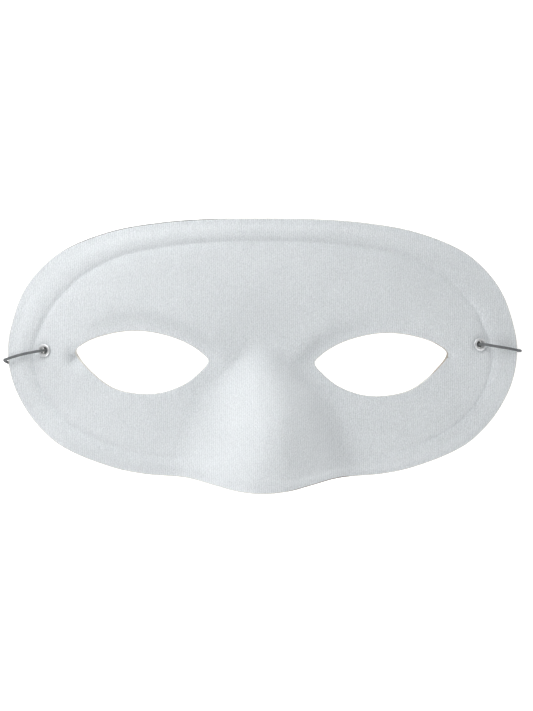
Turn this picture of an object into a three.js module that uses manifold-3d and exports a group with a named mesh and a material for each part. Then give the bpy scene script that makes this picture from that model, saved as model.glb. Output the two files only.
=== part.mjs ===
// A half-face domino mask: one moulded fabric shell, two metal eyelets and an elastic cord
// that is knotted behind each eyelet. Millimetres. The mask lies on its back: X runs across
// the face, Y up the face and Z out of it, and the surface that it lies on is z = 0.
import * as THREE from "three";
import { mergeVertices } from "three/addons/utils/BufferGeometryUtils.js";
import Module from "manifold-3d";

const wasm = await Module();
wasm.setup();

// Driving dimensions
const WIDTH = 190;
const HEIGHT = 102;
const WALL = 1.2;
const ARCH_DEPTH = 22; // how far the sides curve back from the middle of the face
const FOREHEAD_LEAN = 6; // how far the forehead falls back at its top edge
const CHEEK_LEAN = 1; // how far the cheeks fall back at the lower edge
const NOSE_HEIGHT = 34;
const NOSE_HALF_WIDTH = 39; // at the foot
const NOSE_LEAN = 5; // how far its ridge stands off the middle
const NASION_DEPTH = 0.6; // the hollow between the brows
const SOCKET_DEPTH = 2.4; // the step down to each eye, under its brow
const BROW_RIDGE = 0.4; // the low ridge over that step
const DIMPLE_DEPTH_LEFT = 2.4; // the dent beside the outer corner of each eye
const DIMPLE_DEPTH_RIGHT = 1;
const BAND_WIDTH = 9.8; // from the cut edge to the crease all round the face
const RIB_HEIGHT = 1; // the raised rib inside the band
const CREASE_DEPTH = 0.45; // the sharp groove along the crease
const FACE_SWELL = 0.7; // how far the face rises again inside the crease
const REST_DIP = 4.2; // how far the side rim dips to the spots that it rests on
const REST_TRIM = 0.4; // how much the rim is flattened where it rests
const EYE_HALF_LENGTH = 24.7;
const EYE_HALF_HEIGHT = 11.7;
const EYE_ACROSS_LEFT = 44.8; // from the middle of the mask to the middle of each eye hole
const EYE_ACROSS_RIGHT = 44.1;
const EYE_UP_LEFT = -2.5;
const EYE_UP_RIGHT = -3.3;
const EYELET_HOLE_RADIUS = 1.35;
const EYELET_BARREL_WALL = 0.3;
const EYELET_FLANGE_RADIUS = 2.45;
const EYELET_FLANGE_THICKNESS = 0.4;
const CORD_DIAMETER = 1.1;
const KNOT_RADIUS = 1.9;
const GAP = 0.3; // between pieces that touch
const EYELET_INSET_LEFT = 13.8; // from the side edge to the eyelet's axis
const EYELET_INSET_RIGHT = 14.1;
const EYELET_UP_LEFT = 1.9; // over the middle of the mask's height
const EYELET_UP_RIGHT = 4.2;

// The outline of the right half, from the bottom centre round the side to the top centre.
// Shares of half the width and half the height; side is -1 below the widest point, 1 above.
const OUTLINE = [
  { across: 0, up: -1, side: -1 },
  { across: 0.1, up: -0.983, side: -1 },
  { across: 0.2, up: -0.935, side: -1 },
  { across: 0.3, up: -0.888, side: -1 },
  { across: 0.46, up: -0.864, side: -1 },
  { across: 0.59, up: -0.815, side: -1 },
  { across: 0.787, up: -0.664, side: -1 },
  { across: 0.886, up: -0.502, side: -1 },
  { across: 0.945, up: -0.345, side: -1 },
  { across: 0.984, up: -0.175, side: -1 },
  { across: 1, up: 0.04, side: 1 },
  { across: 0.984, up: 0.237, side: 1 },
  { across: 0.945, up: 0.447, side: 1 },
  { across: 0.886, up: 0.607, side: 1 },
  { across: 0.787, up: 0.764, side: 1 },
  { across: 0.59, up: 0.909, side: 1 },
  { across: 0.393, up: 0.971, side: 1 },
  { across: 0.2, up: 0.996, side: 1 },
  { across: 0, up: 1, side: 1 },
];

// The width of the band, as shares of BAND_WIDTH, and how much of its crease is there, by the
// turn round the half outline: -90 degrees is the bottom centre, 0 the side and 90 the top.
const BAND = [
  { turn: -90, share: 0.86, crease: 0 },
  { turn: -66, share: 0.74, crease: 0.4 },
  { turn: -35, share: 0.88, crease: 0.9 },
  { turn: 0, share: 1, crease: 1 },
  { turn: 28, share: 1.3, crease: 1 },
  { turn: 58, share: 1, crease: 1 },
  { turn: 90, share: 0.88, crease: 1 },
];

// The nose: heights up the face as shares of half the height, its half width at the foot as
// shares of NOSE_HALF_WIDTH, its rise as shares of NOSE_HEIGHT, and how far its ridge stands off
// the middle as shares of NOSE_LEAN.
const NOSE = [
  { up: -1, foot: 1.08, rise: 1, lean: 0.9 },
  { up: -0.88, foot: 1.05, rise: 1.01, lean: 0.95 },
  { up: -0.76, foot: 0.99, rise: 1, lean: 1 },
  { up: -0.65, foot: 0.92, rise: 0.94, lean: 1 },
  { up: -0.51, foot: 0.85, rise: 0.83, lean: 1 },
  { up: -0.4, foot: 0.77, rise: 0.71, lean: 0.95 },
  { up: -0.28, foot: 0.67, rise: 0.55, lean: 0.7 },
  { up: -0.18, foot: 0.52, rise: 0.4, lean: 0.4 },
  { up: -0.09, foot: 0.38, rise: 0.25, lean: 0.1 },
  { up: 0, foot: 0.26, rise: 0.07, lean: -0.2 },
  { up: 0.1, foot: 0.2, rise: 0, lean: -0.3 },
];

// The brow line over each eye, from the nose outwards: shares of half the width and half
// the height, and how much of its step and ridge is there.
const BROW = [
  { across: 0.1, up: -0.08, depth: 0 },
  { across: 0.147, up: -0.01, depth: 0.4 },
  { across: 0.19, up: 0.07, depth: 0.8 },
  { across: 0.23, up: 0.125, depth: 1 },
  { across: 0.295, up: 0.19, depth: 1 },
  { across: 0.35, up: 0.235, depth: 1 },
  { across: 0.463, up: 0.284, depth: 0.8 },
  { across: 0.58, up: 0.277, depth: 0.6 },
  { across: 0.66, up: 0.22, depth: 0.25 },
  { across: 0.72, up: 0.15, depth: 0 },
];

// The four spots of the rim that carry the mask, by the same turn as the band, and how far the
// rim dips there, as shares of REST_DIP.
const REST_SPOTS = [
  { turn: 24, dip: 0.66 },
  { turn: -22, dip: 1 },
];

// The outline of an eye hole from its outer corner over the top, in shares of its half
// length, outwards, and its half height.
const EYE = [
  { out: 1, up: 0.33 },
  { out: 0.84, up: 0.64 },
  { out: 0.48, up: 0.905 },
  { out: 0.1, up: 1 },
  { out: -0.27, up: 0.905 },
  { out: -0.64, up: 0.645 },
  { out: -0.9, up: 0.3 },
  { out: -1, up: 0.04 },
  { out: -0.88, up: -0.29 },
  { out: -0.64, up: -0.69 },
  { out: -0.27, up: -0.966 },
  { out: 0.1, up: -0.983 },
  { out: 0.47, up: -0.776 },
  { out: 0.84, up: -0.147 },
];

const HALF_WIDTH = WIDTH / 2;
const HALF_HEIGHT = HEIGHT / 2;
const QUARTER = Math.PI / 2;
const DEGREE = Math.PI / 180;
const EYES = {
  left: { x: -EYE_ACROSS_LEFT, y: EYE_UP_LEFT },
  right: { x: EYE_ACROSS_RIGHT, y: EYE_UP_RIGHT },
};
const EYELETS = {
  left: { x: EYELET_INSET_LEFT - HALF_WIDTH, y: EYELET_UP_LEFT },
  right: { x: HALF_WIDTH - EYELET_INSET_RIGHT, y: EYELET_UP_RIGHT },
};

// A bell: 1 at 0, and close to 0 past 2.
const bell = (q) => Math.exp(-q * q);
// A ramp from 0 at 0 to 1 at 1, flat at both ends.
const ease = (q) => THREE.MathUtils.smoothstep(q, 0, 1);

// A smooth curve through one column of a table, flat at both ends.
function curveOf(rows, place, value) {
  const at = rows.map(place);
  const level = rows.map(value);
  const last = rows.length - 1;
  const slope = level.map((_, i) =>
    i === 0 || i === last ? 0 : (level[i + 1] - level[i - 1]) / (at[i + 1] - at[i - 1]),
  );
  return (q) => {
    let i = 0;
    while (i < last - 1 && q > at[i + 1]) i += 1;
    const span = at[i + 1] - at[i];
    const t = THREE.MathUtils.clamp((q - at[i]) / span, 0, 1);
    const u = 1 - t;
    const from = level[i] * (1 + 2 * t) * u * u + level[i + 1] * (3 - 2 * t) * t * t;
    return from + span * (slope[i] * t * u * u - slope[i + 1] * t * t * u);
  };
}

const outlineUp = curveOf(
  OUTLINE,
  (row) => row.side * Math.acos(row.across),
  (row) => row.up * HALF_HEIGHT,
);
const bandWidth = curveOf(BAND, (row) => row.turn * DEGREE, (row) => row.share * BAND_WIDTH);
const creaseShare = curveOf(BAND, (row) => row.turn * DEGREE, (row) => row.crease);
const noseFoot = curveOf(NOSE, (row) => row.up * HALF_HEIGHT, (row) => row.foot * NOSE_HALF_WIDTH);
const noseRise = curveOf(NOSE, (row) => row.up * HALF_HEIGHT, (row) => row.rise * NOSE_HEIGHT);
const noseRidge = curveOf(NOSE, (row) => row.up * HALF_HEIGHT, (row) => row.lean * NOSE_LEAN);
const browUp = curveOf(BROW, (row) => row.across * HALF_WIDTH, (row) => row.up * HALF_HEIGHT);
const browShare = curveOf(BROW, (row) => row.across * HALF_WIDTH, (row) => row.depth);

// The half outline as short steps, for measuring how far in from the edge a point lies.
const EDGE_STEPS = 120;
const EDGE = Array.from({ length: EDGE_STEPS + 1 }, (_, i) => {
  const turn = ((2 * i) / EDGE_STEPS - 1) * QUARTER;
  return { x: HALF_WIDTH * Math.cos(turn), y: outlineUp(turn), turn };
});

function placeOnRim(x, y) {
  const px = Math.abs(x);
  let inward = Infinity;
  let turn = 0;
  for (let i = 0; i < EDGE_STEPS; i += 1) {
    const a = EDGE[i];
    const b = EDGE[i + 1];
    const dx = b.x - a.x;
    const dy = b.y - a.y;
    const t = THREE.MathUtils.clamp(((px - a.x) * dx + (y - a.y) * dy) / (dx * dx + dy * dy), 0, 1);
    const distance = Math.hypot(px - a.x - t * dx, y - a.y - t * dy);
    if (distance < inward) {
      inward = distance;
      turn = a.turn + t * (b.turn - a.turn);
    }
  }
  return { inward, turn };
}

// The relief across the band: a flat lip, the rib, the crease, and the swell of the face.
const RIB_START = 0.18; // shares of the band's width
const RIB_CREST = 0.55;
const SWELL_REACH = 5;
const CREASE_REACH = 1;
function bandRelief(inward, turn) {
  const band = bandWidth(turn);
  const share = inward / band;
  const crease = creaseShare(turn);
  const fall = RIB_HEIGHT * crease; // from the rib's crest to the crease
  const groove = CREASE_DEPTH * crease * bell((inward - band) / CREASE_REACH);
  const outer = RIB_HEIGHT * ease((share - RIB_START) / (RIB_CREST - RIB_START));
  const inner = fall * (1 - Math.cos((QUARTER * (share - RIB_CREST)) / (1 - RIB_CREST)));
  const swell = (FACE_SWELL - RIB_HEIGHT + fall) * Math.exp((band - inward) / SWELL_REACH);
  if (share < RIB_CREST) return outer - groove;
  return (share < 1 ? RIB_HEIGHT - inner : FACE_SWELL - swell) - groove;
}

// The rim dips to its four resting spots, and arches up between them where the cord passes.
const SPOT_REACH_ACROSS = 24;
const SPOT_REACH_UP = 14;
function restDip(x, y) {
  let dip = 0;
  for (const spot of REST_SPOTS) {
    const turn = spot.turn * DEGREE;
    const across = (Math.abs(x) - HALF_WIDTH * Math.cos(turn)) / SPOT_REACH_ACROSS;
    const up = (y - outlineUp(turn)) / SPOT_REACH_UP;
    dip += REST_DIP * spot.dip * bell(Math.hypot(across, up));
  }
  return dip;
}

// The brow: a low ridge, a step down under the brow line, and a hollow that fades out below.
const STEP_REACH = 2;
const SOCKET_REACH = 14;
const RIDGE_UP = 6;
const RIDGE_REACH = 6;
function brow(x, y) {
  const below = browUp(Math.abs(x)) - y;
  const step = 0.5 + 0.5 * Math.tanh(below / STEP_REACH);
  const hollow = SOCKET_DEPTH * step * bell(Math.max(below, 0) / SOCKET_REACH);
  return browShare(Math.abs(x)) * (BROW_RIDGE * bell((below + RIDGE_UP) / RIDGE_REACH) - hollow);
}

const ARCH_POWER = 2.1;
const CORNER_PULL = 0.25;
const FOREHEAD_FROM = 0.3; // shares of half the height
const CHEEK_FROM = -0.3;
const NASION = { up: 0.05, reachAcross: 14, reachUp: 13 };
const NOSE_ROUND = 2.3; // powers that shape the nose from its round ridge to its hollow foot
const NOSE_HOLLOW = 3.8;
const DIMPLE = { out: 1.02, up: 0.1, reach: 3.4 };

// The height of the front surface over the side edge's own level.
function frontHeight(x, y) {
  const across = Math.abs(x) / HALF_WIDTH;
  const up = y / HALF_HEIGHT;
  const arch = ARCH_DEPTH * (across / (1 - CORNER_PULL * up * up)) ** ARCH_POWER;
  const lean =
    FOREHEAD_LEAN * (Math.max(up - FOREHEAD_FROM, 0) / (1 - FOREHEAD_FROM)) ** 2 +
    CHEEK_LEAN * (Math.max(CHEEK_FROM - up, 0) / (1 + CHEEK_FROM)) ** 2;
  const ridge = noseRidge(y);
  const footWidth = noseFoot(y) + (x < ridge ? ridge : -ridge);
  const foot = Math.min(Math.abs(x - ridge) / footWidth, 1);
  const nose = noseRise(y) * (1 - foot ** NOSE_ROUND) ** NOSE_HOLLOW;
  const nasionUp = (y - NASION.up * HALF_HEIGHT) / NASION.reachUp;
  const nasion = NASION_DEPTH * bell(x / NASION.reachAcross) * bell(nasionUp);
  const eye = x < 0 ? EYES.left : EYES.right;
  const dimpleX = Math.abs(x) - Math.abs(eye.x) - DIMPLE.out * EYE_HALF_LENGTH;
  const dimpleY = y - eye.y - DIMPLE.up * EYE_HALF_HEIGHT;
  const dimpleDepth = x < 0 ? DIMPLE_DEPTH_LEFT : DIMPLE_DEPTH_RIGHT;
  const dimple = dimpleDepth * bell(Math.hypot(dimpleX, dimpleY) / DIMPLE.reach);
  const { inward, turn } = placeOnRim(x, y);
  const rim = bandRelief(inward, turn) - restDip(x, y);
  return ARCH_DEPTH - arch - lean + nose - nasion + brow(x, y) - dimple + rim;
}

// The front surface's outward normal, from its slope over a short step.
const SLOPE_STEP = 0.25;
function frontNormal(x, y) {
  const dx = frontHeight(x + SLOPE_STEP, y) - frontHeight(x - SLOPE_STEP, y);
  const dy = frontHeight(x, y + SLOPE_STEP) - frontHeight(x, y - SLOPE_STEP);
  return new THREE.Vector3(-dx, -dy, 2 * SLOPE_STEP).normalize();
}

// The shell's mesh is spokes from the outline to a short spine along the middle. Each spoke's
// first points lie in the band, at shares of its width, and the others share out the rest.
const SPOKES = 50; // over the top, and as many below
const BAND_POINTS = [0, 0.22, 0.36, 0.5, 0.68, 0.86, 1, 1.16];
const INNER_POINTS = 9;
const SPINE_SHARE = 0.72;
const SPINE_UP = 0.06;

function spokePoints(turn, mirror) {
  const start = new THREE.Vector2(mirror * HALF_WIDTH * Math.cos(turn), outlineUp(turn));
  const end = new THREE.Vector2(start.x * SPINE_SHARE, SPINE_UP * HALF_HEIGHT);
  const length = start.distanceTo(end);
  const places = BAND_POINTS.map((share) => (share * bandWidth(turn)) / length);
  const from = places[places.length - 1];
  for (let i = 1; i <= INNER_POINTS; i += 1) places.push(from + ((1 - from) * i) / INNER_POINTS);
  return places.map((share) => start.clone().lerp(end, share));
}

function shellGeometry() {
  const positions = [];
  const indices = [];
  const rows = [];
  for (const half of [1, -1]) {
    const spokes = [];
    for (let k = 0; k <= SPOKES; k += 1) {
      const around = (Math.PI * k) / SPOKES;
      const mirror = around <= QUARTER ? 1 : -1;
      const turn = half * (around <= QUARTER ? around : Math.PI - around);
      spokes.push(spokePoints(turn, mirror));
    }
    rows.push(half === 1 ? spokes : spokes.reverse());
  }
  // front and back points of one spoke, back ones set in from the front by the wall
  const layer = (spokes) =>
    spokes.map((spoke) =>
      spoke.map((p) => {
        const z = frontHeight(p.x, p.y);
        const n = frontNormal(p.x, p.y);
        const index = positions.length / 3;
        positions.push(p.x, p.y, z);
        positions.push(p.x - WALL * n.x, p.y - WALL * n.y, z - WALL * n.z);
        return { front: index, back: index + 1 };
      }),
    );
  const quad = (a, b, c, d) => indices.push(a, b, c, a, c, d);
  for (const spokes of rows.map(layer)) {
    for (let k = 0; k < spokes.length - 1; k += 1) {
      const here = spokes[k];
      const next = spokes[k + 1];
      for (let i = 0; i < here.length - 1; i += 1) {
        quad(here[i].front, next[i].front, next[i + 1].front, here[i + 1].front);
        quad(here[i].back, here[i + 1].back, next[i + 1].back, next[i].back);
      }
      quad(here[0].front, here[0].back, next[0].back, next[0].front);
    }
  }
  const geometry = new THREE.BufferGeometry();
  geometry.setAttribute("position", new THREE.Float32BufferAttribute(positions, 3));
  geometry.setIndex(indices);
  return geometry;
}

const MERGE_DISTANCE = 1e-4;
function solidOf(geometry) {
  const bare = geometry.clone();
  bare.deleteAttribute("normal");
  bare.deleteAttribute("uv");
  const merged = mergeVertices(bare, MERGE_DISTANCE);
  return new wasm.Manifold(
    new wasm.Mesh({
      numProp: 3,
      vertProperties: merged.attributes.position.array,
      triVerts: new Uint32Array(merged.index.array),
    }),
  );
}

function geometryOf(solid) {
  const mesh = solid.getMesh();
  const geometry = new THREE.BufferGeometry();
  const positions = new Float32Array(mesh.numVert * 3);
  for (let i = 0; i < mesh.numVert; i += 1) {
    const from = i * mesh.numProp;
    positions.set(mesh.vertProperties.subarray(from, from + 3), i * 3);
  }
  geometry.setAttribute("position", new THREE.BufferAttribute(positions, 3));
  geometry.setIndex(new THREE.BufferAttribute(new Uint32Array(mesh.triVerts), 1));
  geometry.computeVertexNormals();
  return geometry;
}

// The blank shell is lifted so that its lowest rim lies REST_TRIM under the ground.
const blank = shellGeometry();
blank.computeBoundingBox();
const LIFT = -REST_TRIM - blank.boundingBox.min.z;
blank.translate(0, 0, LIFT);
const faceZ = (x, y) => frontHeight(x, y) + LIFT;
const CUTTER_HEIGHT = 2 * (ARCH_DEPTH + NOSE_HEIGHT); // taller than the mask
const BORE_LENGTH = 6 * WALL; // reaches well past both faces of the wall
const EYE_SIDES = 45;
const ROUND_SIDES = 20;

// A frame on the front face with its Z along the surface's normal.
function onFace({ x, y }) {
  const frame = new THREE.Object3D();
  frame.position.set(x, y, faceZ(x, y));
  frame.quaternion.setFromUnitVectors(new THREE.Vector3(0, 0, 1), frontNormal(x, y));
  frame.updateMatrix();
  return frame;
}

function eyeCutter({ x, y }) {
  const corner = (row) =>
    new THREE.Vector3(
      x + Math.sign(x) * row.out * EYE_HALF_LENGTH,
      y + row.up * EYE_HALF_HEIGHT,
      0,
    );
  const curve = new THREE.CatmullRomCurve3(EYE.map(corner), true, "centripetal");
  const points = curve.getSpacedPoints(EYE_SIDES).slice(0, -1);
  const shape = new THREE.Shape(points.map((p) => new THREE.Vector2(p.x, p.y)));
  return new THREE.ExtrudeGeometry(shape, { depth: CUTTER_HEIGHT, bevelEnabled: false, steps: 1 });
}

function eyeletHoleCutter(place) {
  const radius = EYELET_HOLE_RADIUS + EYELET_BARREL_WALL + GAP;
  const bore = new THREE.CylinderGeometry(radius, radius, BORE_LENGTH, ROUND_SIDES);
  bore.rotateX(QUARTER);
  return bore.applyMatrix4(onFace(place).matrix);
}

function shell() {
  const ground = new THREE.BoxGeometry(2 * WIDTH, 2 * HEIGHT, CUTTER_HEIGHT);
  ground.translate(0, 0, -CUTTER_HEIGHT / 2);
  const cutters = [
    ground,
    eyeCutter(EYES.left),
    eyeCutter(EYES.right),
    eyeletHoleCutter(EYELETS.left),
    eyeletHoleCutter(EYELETS.right),
  ];
  const cut = cutters.reduce((solid, cutter) => solid.subtract(solidOf(cutter)), solidOf(blank));
  const cloth = new THREE.MeshStandardMaterial({ color: 0xe4e7ea, roughness: 0.9, metalness: 0 });
  const mesh = new THREE.Mesh(geometryOf(cut), cloth);
  mesh.name = "mask_shell";
  return mesh;
}

// An eyelet: a barrel through the wall, with a rounded flange on each side of it. Its own Z is
// the barrel's axis, and 0 is the shell's front face.
const FLANGE_ROUND = 0.4 * EYELET_FLANGE_THICKNESS;
const EYELET_FRONT = GAP;
const EYELET_BACK = -WALL - GAP;
function eyelet(name) {
  const inner = EYELET_HOLE_RADIUS;
  const barrel = inner + EYELET_BARREL_WALL;
  const rim = EYELET_FLANGE_RADIUS;
  const front = EYELET_FRONT + EYELET_FLANGE_THICKNESS;
  const back = EYELET_BACK - EYELET_FLANGE_THICKNESS;
  const profile = [
    [inner, back + FLANGE_ROUND],
    [barrel, back],
    [rim - FLANGE_ROUND, back],
    [rim, EYELET_BACK],
    [barrel, EYELET_BACK],
    [barrel, EYELET_FRONT],
    [rim, EYELET_FRONT],
    [rim - FLANGE_ROUND, front],
    [barrel, front],
    [inner, front - FLANGE_ROUND],
    [inner, back + FLANGE_ROUND],
  ].map(([radius, height]) => new THREE.Vector2(radius, height));
  const ring = new THREE.LatheGeometry(profile, ROUND_SIDES).rotateX(QUARTER);
  const metal = new THREE.MeshStandardMaterial({ color: 0xc9ccd0, roughness: 0.3, metalness: 1 });
  const mesh = new THREE.Mesh(ring, metal);
  mesh.name = name;
  return mesh;
}

const elastic = new THREE.MeshStandardMaterial({ color: 0x5f6467, roughness: 0.8, metalness: 0 });

// The knot that stops the cord behind its eyelet: a ball seated against the barrel's end.
const KNOT_SIDES = 14;
const KNOT_RINGS = 10;
function knot(name) {
  const mesh = new THREE.Mesh(new THREE.SphereGeometry(KNOT_RADIUS, KNOT_SIDES, KNOT_RINGS), elastic);
  const seat = EYELET_BACK - EYELET_FLANGE_THICKNESS + FLANGE_ROUND - GAP;
  mesh.position.z = seat - Math.sqrt(KNOT_RADIUS ** 2 - EYELET_HOLE_RADIUS ** 2);
  mesh.name = name;
  return mesh;
}

// The cord's centre line: out of the left eyelet, over the rim, under it, along the ground in
// easy waves below the forehead, and up round the right rim into the right eyelet.
const CORD = [
  [-80.3, 1.99, 8.8],
  [-81.58, 1.86, 10.11],
  [-82.49, 1.74, 10.77],
  [-83.62, 1.57, 11.05],
  [-84.84, 1.36, 10.76],
  [-90.6, 0.15, 7.6],
  [-95.14, -1.3, 5.12],
  [-96.01, -1.6, 3.83],
  [-95.95, -2, 2.3],
  [-95.05, -2.5, 1.14],
  [-93.55, -3, 0.66],
  [-86.5, -4.2, 0.62],
  [-79.5, 3, 0.62],
  [-72, 19, 0.62],
  [-60, 32, 0.62],
  [-46, 29, 0.62],
  [-35.5, 17.5, 0.62],
  [-22.5, 16, 0.62],
  [-10, 27.5, 0.62],
  [4, 36.5, 0.62],
  [18, 32, 0.62],
  [29, 19, 0.62],
  [42.5, 15.5, 0.62],
  [55, 26.5, 0.62],
  [67, 28.5, 0.62],
  [75, 16.5, 0.62],
  [79.6, 5, 0.62],
  [86.2, 0.9, 0.62],
  [93.55, 1.85, 0.66],
  [95.05, 1.8, 1.14],
  [95.95, 1.75, 2.3],
  [96.01, 1.8, 3.83],
  [95.14, 1.95, 5.12],
  [90.6, 2.8, 7.62],
  [84.6, 3.8, 10.8],
  [83.4, 4.03, 11.1],
  [82.2, 4.15, 10.8],
  [81.28, 4.18, 10.12],
  [80.01, 4.14, 8.82],
];
const CORD_SIDES = 8;
const STEPS_BETWEEN_POINTS = 2;

// A curve whose steps are even between its points, so that its tight bends get more of them.
class EvenByPoints extends THREE.CatmullRomCurve3 {
  getUtoTmapping(u) {
    return u;
  }
}

function cord() {
  const points = CORD.map(([x, y, z]) => new THREE.Vector3(x, y, z));
  const route = new EvenByPoints(points, false, "centripetal");
  const section = new THREE.Shape();
  for (let i = 0; i < CORD_SIDES; i += 1) {
    const angle = (2 * Math.PI * (i + 0.5)) / CORD_SIDES;
    const corner = [0.5 * CORD_DIAMETER * Math.cos(angle), 0.5 * CORD_DIAMETER * Math.sin(angle)];
    if (i === 0) section.moveTo(...corner);
    else section.lineTo(...corner);
  }
  section.closePath();
  const tube = new THREE.ExtrudeGeometry(section, {
    extrudePath: route,
    steps: STEPS_BETWEEN_POINTS * (CORD.length - 1),
  });
  const mesh = new THREE.Mesh(tube, elastic);
  mesh.name = "elastic_cord";
  return mesh;
}

const mask = new THREE.Group();
mask.add(shell());
for (const [side, place] of Object.entries(EYELETS)) {
  const seat = new THREE.Group();
  const frame = onFace(place);
  seat.position.copy(frame.position);
  seat.quaternion.copy(frame.quaternion);
  seat.add(eyelet(`eyelet_${side}`));
  seat.add(knot(`knot_${side}`));
  mask.add(seat);
}
mask.add(cord());

export default mask;
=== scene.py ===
"""The looks of a moulded half-face mask that lies on its back: ribbed knit cloth over a stiff
backing, two metal eyelets and a braided elastic with a knot behind each eyelet.
Lengths are in millimetres until a mesh is made, and in metres from there on."""

import math

import bpy
import numpy as np
from mathutils import Matrix, Vector, kdtree, noise
from mathutils.geometry import delaunay_2d_cdt


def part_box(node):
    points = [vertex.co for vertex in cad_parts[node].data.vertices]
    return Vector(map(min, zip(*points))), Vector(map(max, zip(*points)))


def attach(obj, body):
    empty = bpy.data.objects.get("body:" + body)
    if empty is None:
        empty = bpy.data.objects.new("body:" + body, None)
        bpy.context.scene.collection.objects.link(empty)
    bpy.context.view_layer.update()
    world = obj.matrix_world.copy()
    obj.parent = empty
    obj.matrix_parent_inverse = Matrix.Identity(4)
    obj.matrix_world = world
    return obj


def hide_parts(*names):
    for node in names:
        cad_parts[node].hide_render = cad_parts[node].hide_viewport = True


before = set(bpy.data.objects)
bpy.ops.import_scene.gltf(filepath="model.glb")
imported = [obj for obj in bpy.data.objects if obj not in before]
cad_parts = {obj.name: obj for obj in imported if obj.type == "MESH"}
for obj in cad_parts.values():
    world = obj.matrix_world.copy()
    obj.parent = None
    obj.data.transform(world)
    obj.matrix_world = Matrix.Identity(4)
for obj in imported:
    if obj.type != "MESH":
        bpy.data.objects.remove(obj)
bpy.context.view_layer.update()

MM = 0.001
QUARTER = math.pi / 2
TURN = 2 * math.pi

# Driving sizes of the mask, in millimetres
shell_low, shell_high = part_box("mask_shell")
HALF_WIDTH = (shell_high[0] - shell_low[0]) / MM / 2
HALF_HEIGHT = (shell_high[1] - shell_low[1]) / MM / 2
TOP = shell_high[2] / MM
WALL = 1.2
ARCH_DEPTH = 22
FOREHEAD_LEAN = 6
CHEEK_LEAN = 1
NOSE_HEIGHT = 34
NOSE_HALF_WIDTH = 39
NOSE_LEAN = 5
NASION_DEPTH = 0.6
SOCKET_DEPTH = 2.4
BROW_RIDGE = 0.4
DIMPLE_DEPTH_LEFT = 2.4
DIMPLE_DEPTH_RIGHT = 1
BAND_WIDTH = 9.8
RIB_HEIGHT = 1
CREASE_DEPTH = 0.45
FACE_SWELL = 0.7
REST_DIP = 4.2
EYE_HALF_LENGTH = 24.7
EYE_HALF_HEIGHT = 11.7
EYES = {"left": (-44.8, -2.5), "right": (44.1, -3.3)}
EYELET_HOLE_RADIUS = 1.35
EYELET_BARREL_WALL = 0.3
EYELET_FLANGE_RADIUS = 2.45
CORD_DIAMETER = 1.1
EYELETS = {"left": (13.8 - HALF_WIDTH, 1.9), "right": (HALF_WIDTH - 14.1, 4.2)}

# The camera looks straight down on the face, as the photograph does.
PHOTO_SIZE = (533, 711)
PHOTO_MASK_CENTRE = (262.5, 355.5)
PHOTO_SCALE = 0.3713  # millimetres a pixel
CAMERA_DISTANCE = 4000
SCALE_LEVEL = 15  # the height at which that scale holds
SENSOR = 36
CLIP = (0.1, 50)  # metres


def make_camera():
    data = bpy.data.cameras.new("camera")
    camera = bpy.data.objects.new("camera", data)
    bpy.context.scene.collection.objects.link(camera)
    data.sensor_width = SENSOR
    data.lens = SENSOR * CAMERA_DISTANCE / (PHOTO_SIZE[1] * PHOTO_SCALE)
    data.clip_start, data.clip_end = CLIP
    across = (PHOTO_SIZE[0] / 2 - PHOTO_MASK_CENTRE[0]) * PHOTO_SCALE
    up = (PHOTO_MASK_CENTRE[1] - PHOTO_SIZE[1] / 2) * PHOTO_SCALE
    camera.location = Vector((across, up, SCALE_LEVEL + CAMERA_DISTANCE)) * MM
    bpy.context.scene.camera = camera


make_camera()


def material(name):
    """A new node material: its shader and its tree."""
    made = bpy.data.materials.new(name)
    made.use_nodes = True
    shader = made.node_tree.nodes["Principled BSDF"]
    return made, shader, made.node_tree


def add_node(tree, kind, inputs=(), **settings):
    """A node with its settings and its inputs, each a value or another node's output."""
    node = tree.nodes.new(kind)
    for key, value in settings.items():
        setattr(node, key, value)
    for key, value in dict(inputs).items():
        if isinstance(value, bpy.types.NodeSocket):
            tree.links.new(value, node.inputs[key])
        else:
            node.inputs[key].default_value = value
    return node


def maths(tree, operation, first, second=0.0):
    return add_node(tree, "ShaderNodeMath", {0: first, 1: second}, operation=operation).outputs[0]


def summed(tree, *parts):
    """The sum of values, each with its share: (value, share) pairs."""
    scaled = [maths(tree, "MULTIPLY", value, share) for value, share in parts]
    total = scaled[0]
    for value in scaled[1:]:
        total = maths(tree, "ADD", total, value)
    return total


def vectors(tree, operation, first, second=(0, 0, 0)):
    """A vector operation on two vectors."""
    inputs = {0: first, 1: second}
    return add_node(tree, "ShaderNodeVectorMath", inputs, operation=operation).outputs


def place_in_mm(tree):
    """The place on the piece in millimetres."""
    place = tree.nodes.new("ShaderNodeTexCoord").outputs["Object"]
    return vectors(tree, "DIVIDE", place, (MM, MM, MM))[0]


def mottle(tree, place, scale, detail=3.0, roughness=0.5):
    """Soft patches, scale of them in a millimetre."""
    return add_node(
        tree,
        "ShaderNodeTexNoise",
        {"Vector": place, "Scale": scale, "Detail": detail, "Roughness": roughness},
    ).outputs["Fac"]


def spread(tree, value, span, ends=(0, 1)):
    """A number that goes from one end to the other as the value crosses its span."""
    inputs = {"Value": value, "From Min": span[0], "From Max": span[1]}
    inputs |= {"To Min": ends[0], "To Max": ends[1]}
    return add_node(tree, "ShaderNodeMapRange", inputs).outputs[0]


def mixed(tree, share, first, second, blend_type="MIX"):
    """Two colours mixed, or multiplied, by a share."""
    inputs = {0: share, 6: first, 7: second}
    settings = {"data_type": "RGBA", "blend_type": blend_type}
    return add_node(tree, "ShaderNodeMix", inputs, **settings).outputs[2]


def ramp(tree, value, span, dark, light):
    """A colour that goes from dark to light as the value crosses its span."""
    return mixed(tree, spread(tree, value, span), (*dark, 1), (*light, 1))


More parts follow.
